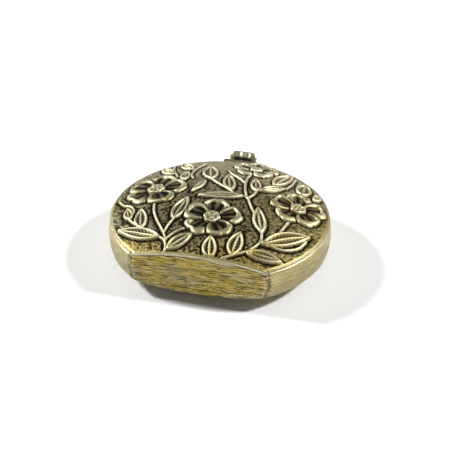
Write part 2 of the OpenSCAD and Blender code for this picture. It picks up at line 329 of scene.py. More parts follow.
def smooth_path(knots, steps=8):
    """Catmull-Rom curve through the knots: each span is a cubic whose ends follow their neighbours."""
    p = np.array([2 * np.array(knots[0]) - knots[1], *knots, 2 * np.array(knots[-1]) - knots[-2]])
    t = np.linspace(0, 1, steps, endpoint=False)[:, None]
    spans = [
        0.5 * (2 * b + (c - a) * t + (2 * a - 5 * b + 4 * c - d) * t ** 2 + (3 * b - a - 3 * c + d) * t ** 3)
        for a, b, c, d in zip(p[:-3], p[1:-2], p[2:-1], p[3:])
    ]
    return np.concatenate([*spans, p[-2:-1]])


def path_distance(x, y, path):
    """Distance to a polyline: the least distance to any of its straight pieces."""
    best = np.full(x.shape, 99.0)
    for (ax, ay), (bx, by) in zip(path[:-1], path[1:]):
        dx, dy = bx - ax, by - ay
        t = np.clip(((x - ax) * dx + (y - ay) * dy) / (dx * dx + dy * dy), 0, 1)
        best = np.minimum(best, np.hypot(x - ax - t * dx, y - ay - t * dy))
    return best


def ridge(distance, half_width):
    """Rounded ridge across a line: one at the line, nothing beyond half_width."""
    return np.clip(1 - (distance / half_width) ** 2, 0, 1) ** 0.8


def step(value, low, high):
    """Smooth step from 0 below low to 1 above high."""
    t = np.clip((value - low) / (high - low), 0, 1)
    return t * t * (3 - 2 * t)


class Relief:
    """Height and shade of the embossing, built up one motif over another."""

    def __init__(self, x, y, depth, stipple):
        self.x, self.y, self.depth = x, y, depth
        grain = value_noise(x, y, 0.40, 1) + 0.5 * value_noise(x, y, 0.75, 2)
        self.height = stipple * grain + 0.08 * depth * value_noise(x, y, 5.0, 3)
        self.shade = np.clip(0.20 - 0.48 * grain, 0, 0.8)
        self.cover = np.zeros(x.shape)
        self.near = np.full(x.shape, 9.0)

    def lay(self, inside, height, shade, outside, sink=0.0):
        """Puts a motif over what is there, and sinks what lies just beyond its edge and darkens it: painted shade at
        the motif's foot, with oxide.

        inside is the motif's mask and outside the distance beyond its edge; the sunk foot falls off
        as a bell curve of that distance.
        """
        foot = sink * np.exp(-(np.maximum(outside, 0) / 0.42) ** 2) * self.cover
        self.height = (self.height - 0.7 * self.depth * foot) * (1 - inside) + height * inside
        # The foot's darkening is painted shade from the raised motif, together with oxide.
        self.shade = np.maximum(self.shade, foot) * (1 - inside) + np.clip(shade, -1, 1) * inside
        self.cover = np.maximum(self.cover, inside)
        self.near = np.minimum(self.near * (1 - inside) + 9 * inside, np.maximum(outside, 0) + 9 * inside)

    def stem(self, knots, half_width=0.34):
        """A rounded cord along a smooth path."""
        d = path_distance(self.x, self.y, smooth_path(knots))
        height = 0.72 * self.depth * ridge(d, 1.2 * half_width)
        self.lay(step(-d, -half_width, -0.6 * half_width), height, 0 * d, d - half_width)

    def leaf(self, foot, tip, half_width):
        """A pointed leaf: raised outline and midrib, two hollow halves with slanting veins."""
        foot, tip = np.array(foot), np.array(tip)
        along = tip - foot
        size = np.hypot(*along)
        ux, uy = along / size
        s = ((self.x - foot[0]) * ux + (self.y - foot[1]) * uy) / size
        bow = 0.10 * half_width * np.sin(np.pi * np.clip(s, 0, 1))
        t = (self.y - foot[1]) * ux - (self.x - foot[0]) * uy - bow
        sc = np.clip(s, 0, 1)
        width = half_width * np.sin(np.pi * sc ** 0.85) ** 0.75
        beyond = np.maximum(np.abs(t) - width, size * np.maximum(-s, s - 1))
        edge = beyond * np.clip(0.55 + 0.45 * np.sin(np.pi * sc), 0, 1)
        outline = ridge(edge + 0.26, 0.35)
        rib = ridge(np.abs(t), 0.27) * step(0.96 - s, 0, 0.1)
        vein = np.sin(2 * np.pi * (s * size - 0.9 * np.abs(t)) / 0.85) * step(-edge, 0.3, 0.7)
        raised = np.maximum(outline, 0.85 * rib)
        height = self.depth * np.maximum(0.95 * raised, 0.08 + 0.08 * vein - 0.30 * step(-edge, 0.25, 0.6))
        # Leaf tone: the outline and midrib lighter, as worn metal with a painted highlight; the hollow halves darker,
        # with darker and lighter veins.
        shade = 0.50 * (1 - 1.5 * raised) * step(-edge, 0.2, 0.5) - 0.26 * vein
        self.lay(step(-edge, -0.10, 0.04), height, shade, edge)

    def petal(self, cx, cy, angle, size, seed):
        """A broad petal: curled outer rim, a dished middle with fine rays, and a notch at its tip."""
        ux, uy = math.cos(angle), math.sin(angle)
        along = (self.x - cx) * ux + (self.y - cy) * uy
        across = (self.y - cy) * ux - (self.x - cx) * uy
        mid, reach, half = 0.60 * size, 0.40 * size, 0.435 * size
        turn = np.arctan2(across, along - mid)
        wobble = 0.09 * np.sin(3 * turn + seed) - 0.12 * np.exp(-(across / 0.55) ** 2)
        q = np.hypot((along - mid) / reach, across / half * (1.12 - 0.22 * step(along, 0.2 * size, 0.9 * size)))
        edge = (q - 1 - wobble * step(along, mid, size)) * reach
        outer = step(along, 0.25 * size, 0.72 * size)
        front = np.clip((cy + mid * uy - self.y) / half, -1, 1)
        thick = 0.36 + outer * (0.38 + 0.30 * front + 0.16 * np.sin(2 * turn + seed))
        curl = ridge(edge + 0.80 * thick, thick) * (0.25 + 0.75 * outer)
        rays = np.sin(17 * np.arctan2(across, along + 0.6) + seed) * step(-edge, 0.5, 0.9)
        hollow = step(-edge, 1.1 * thick, 1.9 * thick)
        height = self.depth * np.maximum(curl, 0.34 - 0.34 * hollow + 0.09 * rays)
        # Petal tone: the curled lip lighter, as worn metal with a painted highlight; the dished middle darker, most
        # towards the rose's centre, with darker and lighter rays.
        deep = 0.62 + 0.35 * step(-along, -0.75 * size, -0.35 * size)
        shade = deep * (1 - 1.35 * curl) * (0.4 + 0.6 * hollow) - 0.24 * rays * hollow
        self.lay(step(-edge, -0.12, 0.06), height, shade, edge, sink=1.0)

    def rose(self, cx, cy, size, turn):
        """Five petals, each over the last, and a raised centre pricked with a ring of holes."""
        for k in (0, 2, 4, 1, 3):
            self.petal(cx, cy, math.radians(turn + 72 * k), size, seed=turn + 1.7 * k)
        d = np.hypot(self.x - cx, self.y - cy)
        heart = 0.29 * size
        spoke = np.arctan2(self.y - cy, self.x - cx)
        ring = heart * (1 + 0.06 * np.sin(6 * spoke + turn))
        holes = ridge(np.abs(d - 0.52 * heart), 0.26 * heart) * step(np.cos(6 * spoke + turn), 0.0, 0.8)
        holes = np.maximum(holes, ridge(d, 0.16 * heart))
        height = self.depth * (0.55 + 0.40 * ridge(d, 1.25 * heart) - 0.55 * holes)
        # The heart is lighter, as worn metal with a painted highlight, and its holes darker.
        self.lay(step(ring - d, -0.05, 0.2), height, 1.7 * holes - 1.0, d - ring, sink=0.9)

    def moat(self):
        """Sinks the ground beside every motif and darkens it, most at its foot: painted shade from the raised motif,
        with oxide.
        """
        foot = np.exp(-(self.near / 0.52) ** 2) * (1 - self.cover)
        self.height = self.height - 0.34 * self.depth * foot
        self.shade = np.maximum(self.shade, 1.1 * foot)


def blurred(field, passes):
    """Local mean: repeated average of each grid point with its four neighbours."""
    for _ in range(passes):
        wide = np.pad(field, 1, mode="edge")
        field = (field + wide[:-2, 1:-1] + wide[2:, 1:-1] + wide[1:-1, :-2] + wide[1:-1, 2:]) / 5
    return field


def emboss(x, y, sizes):
    """Relief height over the dome, and its tone: recess, ground and ridge, each from 0 to 1."""
    depth = sizes.relief / MM
    work = Relief(x, y, 0.92 * depth, sizes.stipple / MM)
    for knots in STEMS:
        work.stem(knots)
    for foot, tip, half_width in LEAVES:
        work.leaf(foot, tip, half_width)
    for rose in ROSES:
        work.rose(*rose)
    work.moat()
    inside = np.minimum(EDGE_R - np.hypot(x, y), FLAT_Y + y)
    fade = step(inside, 0.25, 0.75)
    height = np.clip(work.height, -0.5 * depth, depth) * fade
    relative = (height - blurred(height, 26)) / depth
    # Painted light over the whole lid: darker in a patch at the front middle, lighter towards the back, where the
    # dome's glancing slope would mirror the bright surroundings, and a little lighter on the right.
    painted_sheen_and_shade = 0.30 * np.exp(-((x + 2) / 13) ** 2 - ((y + 10) / 8) ** 2) - 0.32 * step(y, 2, 20) - 0.12 * step(x, 6, 20)
    # Darker in the hollows and lighter on the rises, against the local mean height: oxide in the hollows together
    # with painted shade.
    slope = -0.9 * np.minimum(relative, 0) - 0.6 * np.maximum(relative, 0)
    recess = np.clip(work.shade + painted_sheen_and_shade * (1 - 0.7 * work.cover) + slope, 0, 1) * fade
    worn = np.clip(0.75 + 0.5 * value_noise(x, y, 2.6, 4) + 0.3 * value_noise(x, y, 1.1, 7), 0.2, 1)
    # Lighter ridges and rose hearts: worn metal with a painted highlight, painted weaker towards the front, and a
    # thin painted highlight along the lid's edge.
    raised = (np.clip(2.0 * relative, 0, 1) + np.clip(-work.shade, 0, 0.9)) * (1 - recess) * worn
    raised = raised * (1 - 0.28 * step(-y, 7, 18))
    raised = np.maximum(raised, 0.16 * worn * step(0.45 - inside, 0, 0.25))
    ground = (1 - work.cover) * fade
    return height, np.stack([recess, ground, np.clip(raised, 0, 1)], axis=-1)


# Shaders -------------------------------------------------------------------------------

class Value:
    """A shader socket whose sums and products become Math nodes."""

    def __init__(self, graph, socket):
        self.graph, self.socket = graph, socket

    def math(self, operation, *terms):
        """One Math node over this value and others."""
        return self.graph.node("ShaderNodeMath", {"operation": operation}, dict(enumerate(terms)))

    def __add__(self, other):
        return self.math("ADD", self, other)

    def __sub__(self, other):
        return self.math("SUBTRACT", self, other)

    def __rsub__(self, other):
        return self.math("SUBTRACT", other, self)

    def __mul__(self, other):
        return self.math("MULTIPLY", self, other)

    __radd__, __rmul__ = __add__, __mul__

    def clamp(self):
        """The value held between 0 and 1."""
        return self.graph.node("ShaderNodeClamp", {}, {"Value": self})

    def ramp(self, low, high):
        """0 below low, 1 above high, smooth between."""
        settings = {"interpolation_type": "SMOOTHSTEP"}
        return self.graph.node("ShaderNodeMapRange", settings, {"Value": self, "From Min": low, "From Max": high})


class Finish:
    """A node material with one shader, built by expressions."""

    def __init__(self, name):
        self.material = bpy.data.materials.new(name)
        self.material.use_nodes = True
        self.tree = self.material.node_tree
        self.tree.nodes.clear()
        self.place = self.node("ShaderNodeTexCoord", {}, {}, output="Object")

    def node(self, kind, settings, inputs, output=0):
        """Adds a node, sets it up, fills its sockets with values or links, and returns one output."""
        made = self.tree.nodes.new(kind)
        for key, value in settings.items():
            setattr(made, key, value)
        for key, value in inputs.items():
            socket = made.inputs[key]
            if isinstance(value, Value):
                self.tree.links.new(value.socket, socket)
            else:
                socket.default_value = value
        return Value(self, made.outputs[output])

    def scaled(self, x, y=None, z=None):
        """The object's own place, in units of the given millimetres along each axis."""
        steps = [1 / (MM * (s or x)) for s in (x, y, z)]
        return self.node("ShaderNodeMapping", {"vector_type": "POINT"}, {"Vector": self.place, "Scale": steps})

    def noise(self, size, detail=3.0, rough=0.55, y=None, z=None, twist=0.0):
        """Noise with features of that many millimetres."""
        inputs = {"Vector": self.scaled(size, y, z), "Scale": 1.0, "Detail": detail, "Roughness": rough}
        inputs["Distortion"] = twist
        return self.node("ShaderNodeTexNoise", {"noise_dimensions": "3D"}, inputs)

    def cells(self, size, y=None, z=None):
        """Distance to scattered points about that many millimetres apart."""
        inputs = {"Vector": self.scaled(size, y, z), "Scale": 1.0}
        return self.node("ShaderNodeTexVoronoi", {"feature": "F1"}, inputs)

    def mix(self, a, b, factor):
        """Colour a where factor is 0, b where it is 1."""
        a, b = (c if isinstance(c, Value) else (*c, 1.0) for c in (a, b))
        return self.node("ShaderNodeMix", {"data_type": "RGBA"}, {0: factor, 6: a, 7: b}, output=2)

    def tones(self):
        """The mesh's recess, ground and ridge tones."""
        read = self.node("ShaderNodeAttribute", {"attribute_name": "tone"}, {}, output="Color")
        return [self.node("ShaderNodeSeparateColor", {}, {"Color": read}, output=k) for k in range(3)]

    def axes(self):
        """The object's own x and y."""
        split = self.node("ShaderNodeSeparateXYZ", {}, {"Vector": self.place}, output="X")
        return split, Value(self, split.socket.node.outputs["Y"])

    def bump(self, height, distance, strength=1.0, under=None):
        """A bump from a height field, distance in millimetres."""
        inputs = {"Height": height, "Distance": distance * MM, "Strength": strength}
        if under:
            inputs["Normal"] = under
        return self.node("ShaderNodeBump", {}, inputs)

    def finish(self, base, rough, metallic, normal=None, **extra):
        """Joins everything to the shader and returns the material."""
        base = base if isinstance(base, Value) else (*base, 1.0)
        inputs = {"Base Color": base, "Roughness": rough, "Metallic": metallic}
        inputs.update({key.replace("_", " "): value for key, value in extra.items()})
        if normal:
            inputs["Normal"] = normal
        shader = self.node("ShaderNodeBsdfPrincipled", {}, inputs)
        self.node_output(shader)
        return self.material

    def node_output(self, shader):
        """Ends the tree in its surface output."""
        out = self.tree.nodes.new("ShaderNodeOutputMaterial")
        self.tree.links.new(shader.socket, out.inputs["Surface"])


def embossed_metal(c):
    """Embossed lid: ridges lighter as worn metal with a painted highlight, olive middle tones, black recesses of
    oxide with painted shade, a back lightened as a painted reflection, and a punched ground.
    """
    f = Finish("embossed_brass_worn")
    recess, ground, raised = f.tones()
    cloud = f.noise(6.0, 4.0)
    fine = f.noise(0.45, 5.0, 0.7)
    pits = f.cells(0.62).ramp(0.42, 0.12)
    across, along = f.axes()
    warm = (across.ramp(-4 * MM, 20 * MM) * 0.75 + along.ramp(-12 * MM, -20 * MM) * 0.8).clamp()
    warm = ((warm + f.noise(11.0, 2.0).ramp(0.5, 0.7) * 0.5) * (1 - raised * 0.6)).clamp()
    # Painted reflection: the back of the lid is mixed towards the bright metal colour.
    fair = along.ramp(1 * MM, 18 * MM) * 0.38
    body = f.mix(f.mix(c.olive, c.gold, warm), c.bright, (fine.ramp(0.35, 0.75) * 0.35 + fair).clamp())
    # Ridges mixed towards the bright metal: worn metal with a painted highlight.
    rubbed_and_highlit = f.mix(body, c.bright, (raised * 1.3).clamp() * 0.74)
    # Darkening towards the tarnish colour: the recess tone carries oxide with painted shade; the pits and specks of
    # the punched ground are its own dark.
    dark = (recess * (0.85 + cloud * 0.5) + pits * ground * 0.42 + fine.ramp(0.56, 0.40) * ground * 0.40).clamp()
    base = f.mix(rubbed_and_highlit, c.tarnish, dark)
    rough = (0.45 + dark * 0.16 + fine * 0.16 + raised * 0.06).clamp()
    normal = f.bump(fine * 0.6 - pits * ground, 0.07, 0.9)
    return f.finish(base, rough, (1 - dark * 0.1).clamp(), normal, Specular_IOR_Level=0.2)


def brushed_metal(c, name, gold=0.5, across=(2.6, 2.6, 0.10), pitted=0.5, streaks=0.55, fair=0.0):
    """Worn wall metal: fine lines along the side, gold patches, pits and dark specks."""
    f = Finish(name)
    lines = f.noise(across[0], 4.0, 0.7, across[1], across[2])
    patch = f.noise(8.0, 4.0, 0.6, z=2.6).ramp(0.30, 0.62)
    seam, _, rubbed_and_highlit = f.tones()
    grain = f.noise(3.0, 4.0, 0.78, z=0.22, twist=0.1)
    broad = f.noise(1.5, 4.0, 0.7, z=0.7)
    speck = f.cells(0.9, z=0.45).ramp(0.34, 0.08) * broad.ramp(0.42, 0.60)
    pale = (grain.ramp(0.54, 0.68) * 0.55 + lines.ramp(0.54, 0.66) * 0.45).clamp()
    # The edge tone lightens the rounded edges and lessens their dark: worn metal with a painted highlight.
    light = (pale * (1 - patch * 0.45 * gold) + rubbed_and_highlit + fair).clamp()
    base = f.mix(f.mix(c.olive, c.gold, patch * gold), c.bright, light)
    dark = grain.ramp(0.52, 0.36) * pitted + lines.ramp(0.48, 0.34) * streaks + speck * pitted
    dark = (dark * (1 - rubbed_and_highlit * 0.7) + seam * broad.ramp(0.38, 0.56)).clamp()
    base = f.mix(base, c.tarnish, dark * 0.92)
    rough = (0.36 + grain * 0.20 + dark * 0.2).clamp()
    normal = f.bump(lines * 0.5 + grain * 0.8 - speck * 0.6, 0.06, 0.8)
    return f.finish(base, rough, 1 - dark * 0.3, normal, Specular_IOR_Level=0.25)


def satin_metal(c, name, tint, size=0.5):
    """Small fittings: satin metal with tarnish in soft patches."""
    f = Finish(name)
    hollow, _, rubbed_and_highlit = f.tones()
    cloud = f.noise(size * 2.2, 4.0, 0.6)
    grain = f.noise(size * 0.35, 4.0, 0.7)
    # The hollow tone paints the bail crown's inner edge black, as shade together with tarnish; the lighter tone
    # lightens the crown's middle as a painted highlight.
    dark = ((cloud.ramp(0.50, 0.34) * 0.7 + grain.ramp(0.45, 0.3) * 0.3) * (1 - rubbed_and_highlit) + hollow * 1.2).clamp()
    base = f.mix(f.mix(tint, c.bright, (grain * 0.6 + rubbed_and_highlit).clamp()), c.tarnish, dark)
    normal = f.bump(grain, 0.03, 0.6)
    return f.finish(base, (0.26 + grain * 0.25 + dark * 0.2).clamp(), 1 - dark * 0.5, normal)


def pile_cloth(c, name, tint, fibre=0.16, deep=0.5):
    """Velvet or felt: short fibres with a soft sheen and brushed light and dark patches."""
    f = Finish(name)
    nap = f.noise(3.4, 4.0, 0.6)
    fibres = f.noise(fibre, 4.0, 0.8, twist=0.8)
    shade = (fibres.ramp(0.35, 0.65) * 0.6 + nap.ramp(0.35, 0.65) * 0.4)
    pale = tuple(min(1.0, v * 2.2 + 0.02) for v in tint)
    base = f.mix(tuple(v * deep for v in tint), pale, shade * 0.7)
    normal = f.bump(fibres + nap * 0.6, 0.10, 0.9)
    return f.finish(base, 0.92, 0.0, normal, Sheen_Weight=0.6, Sheen_Roughness=0.4, Sheen_Tint=(*pale, 1.0))


def woven_cloth(c, name, tint, pitch=0.34):
    """Brushed flannel: a plain weave of crossed threads under short hairs."""
    f = Finish(name)
    turn = 2 * math.pi / (MM * pitch)
    along, over = f.axes()
    warp = along.math("SINE", along * turn)
    weft = over.math("SINE", over * turn)
    weave = warp * weft * 0.5 + 0.5
    hairs = f.noise(0.5, 5.0, 0.8, twist=1.2)
    base = f.mix(tuple(v * 0.72 for v in tint), tint, (weave * 0.5 + hairs * 0.7).clamp())
    normal = f.bump(weave * 0.6 + hairs, 0.08, 0.8)
    return f.finish(base, 0.9, 0.0, normal, Sheen_Weight=0.3, Sheen_Roughness=0.5)


def floor_paper(c):
    """Pale paper floor with the faintest tooth."""
    f = Finish("pale_paper")
    tooth = f.noise(4.0, 3.0)
    shade = tuple(v * 0.985 for v in c.floor)
    return f.finish(f.mix(shade, c.floor, tooth), 0.8, 0.0)


def paint(node, material):
    """Gives a CAD node a material."""
    for slot in frame["nodes"][node].material_slots:
        slot.material = material


# Pieces --------------------------------------------------------------------------------

def settings(context):
    """Sizes and colours from the scene."""
    return context.scene.needle_case_sizes, context.scene.needle_case_colours


class NEEDLECASE_OT_lid_plate(bpy.types.Operator):
    """The embossed top of the lid"""
    bl_idname = "needlecase.lid_plate"
    bl_label = "Embossed lid"

    def execute(self, context):
        """Top is the lid's dome plus the relief, rounded over the rim; the underside is the dome made smaller."""
        sizes, colours = settings(context)
        count, over = 285, 0.22
        x, y = d_grid(count, EDGE_R - 0.03, FLAT_Y - 0.03)
        height, tone = emboss(x, y, sizes)
        inside = np.minimum(EDGE_R - 0.03 - np.hypot(x, y), FLAT_Y - 0.03 + y)
        height -= over * (1 - np.sqrt(1 - (1 - np.clip(inside / over, 0, 1)) ** 2))

        def under(a, b):
            inner = (np.hypot(a, b) < LID_IN) & (b > -LIP_IN_Y)
            return lid_dome(a, b) - np.where(inner, 0.5, over + 0.04)

        rings = (1, 0.971, 0.962, 0.8, 0.6, 0.4, 0.2)
        points, faces = plate(x, y, lambda a, b: lid_dome(a, b) + height, under, rings)
        tones = np.zeros((len(points), 3))
        tones[:count * count] = tone.reshape(-1, 3)
        piece = new_piece("embossed_lid", points, faces, "lid_plate", "lid", tones)
        piece.data.materials.append(embossed_metal(colours))
        return {"FINISHED"}


def ring_wall(inner, low, high, flat, edge=0.14, stations=260, body_rows=20, inner_low=None, bulge=None):
    """Sections of a wall that follows the round side from one corner of the flat to the other, and its tone.

    Each section is a closed loop in radius and height: up the barrel-shaped outside, over a rounded
    top edge, down the straight inside and back along the bottom edge.
    """
    z = np.linspace(low, high, body_rows)
    near = np.minimum(z - low, high - z)
    inset = edge * (1 - np.sqrt(np.clip(1 - (near / edge - 1).clip(-1, 0) ** 2, 0, 1)))
    outside = np.c_[side_radius(z) - inset + (0 if bulge is None else bulge(z)), z]
    inner_low = low + 0.02 if inner_low is None else inner_low
    inside = np.c_[np.full(3, inner), [high - 0.02, (low + high) / 2, inner_low]]
    loop = np.concatenate([outside, inside])
    start = np.arcsin(np.clip(-flat / loop[:, 0], -1, 1))
    u = np.linspace(0, 1, stations)[:, None]
    angle = start + (math.pi - 2 * start) * u
    far = np.minimum(angle - start, math.pi - start - angle) * CASE_R
    seam = 0.45 * np.exp(-(far / 0.20) ** 2)
    # The top and bottom edges painted lighter, as worn metal with a painted highlight; the seam tone darkens the
    # joins beside the flat.
    rubbed_and_highlit = np.broadcast_to(0.28 * np.exp(-(np.r_[near, 9, 9, 9] / 0.22) ** 2), far.shape)
    tone = np.stack([seam, 0 * far, rubbed_and_highlit], axis=-1).reshape(-1, 3)
    r = loop[None, :, 0]
    return r * np.cos(angle), r * np.sin(angle), np.broadcast_to(loop[None, :, 1], angle.shape), tone


def dented(x, y, z, depth):
    """Pushes a wall in and out along its radius by soft random dents."""
    turn = np.arctan2(y, x) * CASE_R
    push = depth * (value_noise(turn, z, 4.0, 5) + 0.6 * value_noise(turn, z, 1.7, 6))
    r = np.hypot(x, y)
    return x * (1 + push / r), y * (1 + push / r)


def hinge_seat(x, y, z, half, radius):
    """Pulls the wall back to a cylinder about the hinge, where the barrel of the hinge lies in it."""
    lift = np.clip(radius ** 2 - (z - HINGE_Z) ** 2, 0, None)
    near = (np.abs(x - HINGE_X) < half) & (y > 0) & (lift > 0)
    return np.where(near, np.minimum(y, HINGE_Y - np.sqrt(lift)), y)


class NEEDLECASE_OT_walls(bpy.types.Operator):
    """The curved side band and the flat front wall of the base"""
    bl_idname = "needlecase.walls"
    bl_label = "Side band and front wall"

    def execute(self, context):
        """Side: a barrel-shaped ring with soft dents. Front: a flat bar between the two domes."""
        sizes, colours = settings(context)
        x, y, z, tone = ring_wall(
            BAND_IN, SIDE_MID - SIDE_HALF, PART_Z - 0.05, WALL_IN_Y + 0.2, inner_low=float(back_dome(BAND_IN, 0.0)))
        x, y = dented(x, y, z, sizes.wear / MM)
        y = hinge_seat(x, y, z, SEAT_HALF, SEAT_R)
        points, faces = loft(np.stack([x, y, z], axis=-1))
        band = new_piece("side_band_worn", points, faces, "side_band", "base", tone)
        band.data.materials.append(brushed_metal(
            colours, "side_metal", gold=0.75, across=(4.0, 4.0, 0.14), pitted=0.30, streaks=0.26, fair=0.20))
        points, faces, tone = flat_bar(FLAT_Y, WALL_IN_Y, front_low, parting, sizes.wear / MM, rows=36)
        wall = new_piece("front_wall_worn", points, faces, "front_wall", "base", tone)
        wall.data.materials.append(brushed_metal(
            colours, "front_metal", gold=1.0, across=(4.5, 4.5, 0.17), pitted=1.0, streaks=0.95))
        return {"FINISHED"}


def front_low(x, y):
    """Lower edge of the flat front, where the back's dome cuts it."""
    return np.maximum(back_dome(x, y), 0.2)


def parting(x, y):
    """Parting line along the flat front: the lid's dome lowered by its rim, with the thumb notch."""
    edge = lid_dome(x, y) - RIM_H
    middle = float(lid_dome(THUMB_X, -FLAT_Y)) - RIM_H - THUMB_DROP
    notch = middle + THUMB_R - np.sqrt(THUMB_R ** 2 - np.clip(x - THUMB_X, 0.1 - THUMB_R, THUMB_R - 0.1) ** 2)
    return np.minimum(edge, notch)


def flat_bar(out_y, in_y, low, high, wear, rows=10, stations=180, edge=0.13):
    """A bar along the flat front: at each place across, a closed loop up the face and down behind it.

    Its ends follow the round side, so a point's place across is its share of the side's half width
    at that height and depth.
    """
    u = np.linspace(-1, 1, stations)[:, None]
    v = np.linspace(0, 1, rows)
    face = np.c_[np.full(rows, out_y), v]
    loop = np.concatenate([face, [[in_y, 1.0], [in_y, 0.5], [in_y, 0.0]]])
    y = -loop[None, :, 0] + 0 * u
    x = u * np.sqrt(EDGE_R ** 2 - y ** 2)
    for _ in range(3):
        bottom, top = low(x, y), high(x, y)
        z = bottom + (top - bottom) * loop[None, :, 1]
        x = u * np.sqrt(side_radius(np.clip(z, SIDE_MID - 6, SIDE_MID + 6)) ** 2 - y ** 2)
    near, from_end = np.minimum(z - bottom, top - z), (1 - np.abs(u)) * FLAT_HALF
    rim = np.minimum(near, from_end + 0.02)
    seam = 0.45 * np.exp(-(from_end / 0.16) ** 2) + 0 * z
    # The top and bottom edges and a line beside each end painted lighter, as worn metal with a painted highlight.
    beside = 0.24 * np.exp(-((from_end - 0.02 * FLAT_HALF) / 0.25) ** 2)
    rubbed_and_highlit = np.maximum(0.5 * np.exp(-(near / 0.28) ** 2), beside)
    tone = np.stack([seam, 0 * z, rubbed_and_highlit], axis=-1).reshape(-1, 3)
    turn = edge * (1 - np.sqrt(np.clip(1 - (np.clip(rim / edge, 0, 1) - 1) ** 2, 0, 1)))
    push = wear * (value_noise(x, z, 3.2, 8) + 0.7 * value_noise(x, z, 1.3, 9)) * step(rim, 0, 0.6)
    outside = loop[None, :, 0] == out_y
    y = np.where(outside, y + turn + push, y)
    return *loft(np.stack([x, y, z], axis=-1)), tone


class NEEDLECASE_OT_lid_edge(bpy.types.Operator):
    """The lid's rim and its strip along the flat front"""
    bl_idname = "needlecase.lid_edge"
    bl_label = "Lid rim and front lip"

    def execute(self, context):
        """Both follow the walls below them, and end in a rounded bead at the dome's edge."""
        sizes, colours = settings(context)
        bead = sizes.bead / MM
        x, y, z, tone = ring_wall(
            LID_IN, PART_Z + 0.09, SIDE_TOP - 0.12, LIP_IN_Y + 0.15, edge=0.1, body_rows=12,
            bulge=lambda h: bead * (1 - ((h - PART_Z - 0.35) / 0.35) ** 2))
        y = hinge_seat(x, y, z, SEAT_HALF, SEAT_R)
        points, faces = loft(np.stack([x, y, z], axis=-1))
        rim = new_piece("lid_rim_bead", points, faces, "lid_rim", "lid", tone)
        metal = brushed_metal(colours, "rim_metal", gold=0.15, across=(3.0, 3.0, 0.2), pitted=0.25)
        rim.data.materials.append(metal)
        points, faces, tone = flat_bar(
            FLAT_Y, LIP_IN_Y, lambda a, b: parting(a, b) + 0.04, lambda a, b: lid_dome(a, b) - 0.12, 0.02, rows=14,
            edge=0.06)
        lip = new_piece("front_lip_bead", points, faces, "lid_front_lip", "lid", tone)
        lip.data.materials.append(metal)
        return {"FINISHED"}


class NEEDLECASE_OT_back(bpy.types.Operator):
    """The domed back with its flat foot"""
    bl_idname = "needlecase.back"
    bl_label = "Back plate"

    def execute(self, context):
        """Underside is the back's dome with faint spinning rings; the inside is the dome made smaller."""
        sizes, colours = settings(context)
        x, y = d_grid(141, BAND_IN, WALL_IN_Y)
        r = np.hypot(x, y)
        wear = sizes.wear / MM
        soft = step(r, 10.9, 14.0)
        ripple = soft * (0.3 * wear * np.sin(2 * np.pi * r / 1.1) + wear * value_noise(x, y, 5.0, 11))
        points, faces = plate(
            x, y, lambda a, b: np.maximum(back_dome(a, b) + ripple, 0), lambda a, b: back_dome(a, b, 0.5))
        back = new_piece("back_plate_worn", points, faces, "back_plate", "base")
        back.data.materials.append(brushed_metal(colours, "back_metal", gold=0.6, across=(1.2, 1.2, 1.2), pitted=0.8))
        return {"FINISHED"}


class NEEDLECASE_OT_bail(bpy.types.Operator):
    """The small swinging bail"""
    bl_idname = "needlecase.bail"
    bl_label = "Bail"

    def execute(self, context):
        """A rounded bar swept up one leg, across the broad beaded crown and down the other leg."""
        _, colours = settings(context)
        size = float(BAIL_HIGH[0] - BAIL_LOW[0])
        foot, end, crown, leg = size / 2 - 0.35, 2.4, 1.25, 0.33
        knots = [(-foot, 0.0), (-foot + 0.25, 1.0), (-end - 0.2, 2.2), (-end + 0.3, 2.9), (0, 3.0),
                 (end - 0.3, 2.9), (end + 0.2, 2.2), (foot - 0.25, 1.0), (foot, 0.0)]
        path = smooth_path(knots, steps=18)
        along = np.gradient(path, axis=0)
        along /= np.hypot(along[:, 0], along[:, 1])[:, None]
        normal = np.c_[-along[:, 1], along[:, 0]]
        rise = step(path[:, 1], 1.3, 3.0)
        half = leg + (crown - leg) * rise
        t = np.linspace(0, 2 * np.pi, 28, endpoint=False)
        lobe = np.sign(np.cos(t)) * np.abs(np.cos(t)) ** 0.6
        thick = np.sign(np.sin(t)) * np.abs(np.sin(t)) ** 0.7
        beads = 0.12 * np.cos(path[:, :1] * 2 * np.pi / 2.1) * rise[:, None] * np.clip(np.sin(t), 0, 1)
        local_x = path[:, :1] + normal[:, :1] * half[:, None] * lobe
        local_y = path[:, 1:] + normal[:, 1:] * half[:, None] * lobe
        local_z = (0.40 + 0.20 * rise[:, None]) * thick + beads
        lean = math.radians(50)
        y = BAIL_Y + local_y * math.cos(lean) - local_z * math.sin(lean)
        z = BAIL_Z + local_y * math.sin(lean) + local_z * math.cos(lean)
        points, faces = loft(np.stack([local_x + HINGE_X, y, z], axis=-1))
        # Tone of the bail: the crown's inner edge painted black as shade with tarnish, and the crown's middle painted
        # lighter as a highlight.
        inner = step(-lobe * half[:, None], 0.25, 0.55) * rise[:, None]
        middle = (0.35 + 0.65 * np.exp(-(path[:, :1] / 0.7) ** 2)) * step(lobe, -0.4, 0.2) * rise[:, None]
        tone = np.stack([inner, 0 * inner, middle], axis=-1).reshape(-1, 3)
        for side in (-1, 1):
            ring_points, ring_faces = eye_ring(side * (size / 2 - 0.35))
            faces += [[i + len(points) for i in face] for face in ring_faces]
            points = np.concatenate([points, ring_points])
        tone = np.concatenate([tone, np.zeros((len(points) - len(tone), 3))])
        bail = new_piece("bail_loop", points, faces, "bail", "bail", tone)
        bail.data.materials.append(satin_metal(colours, "bail_metal", colours.olive, 0.55))
        return {"FINISHED"}


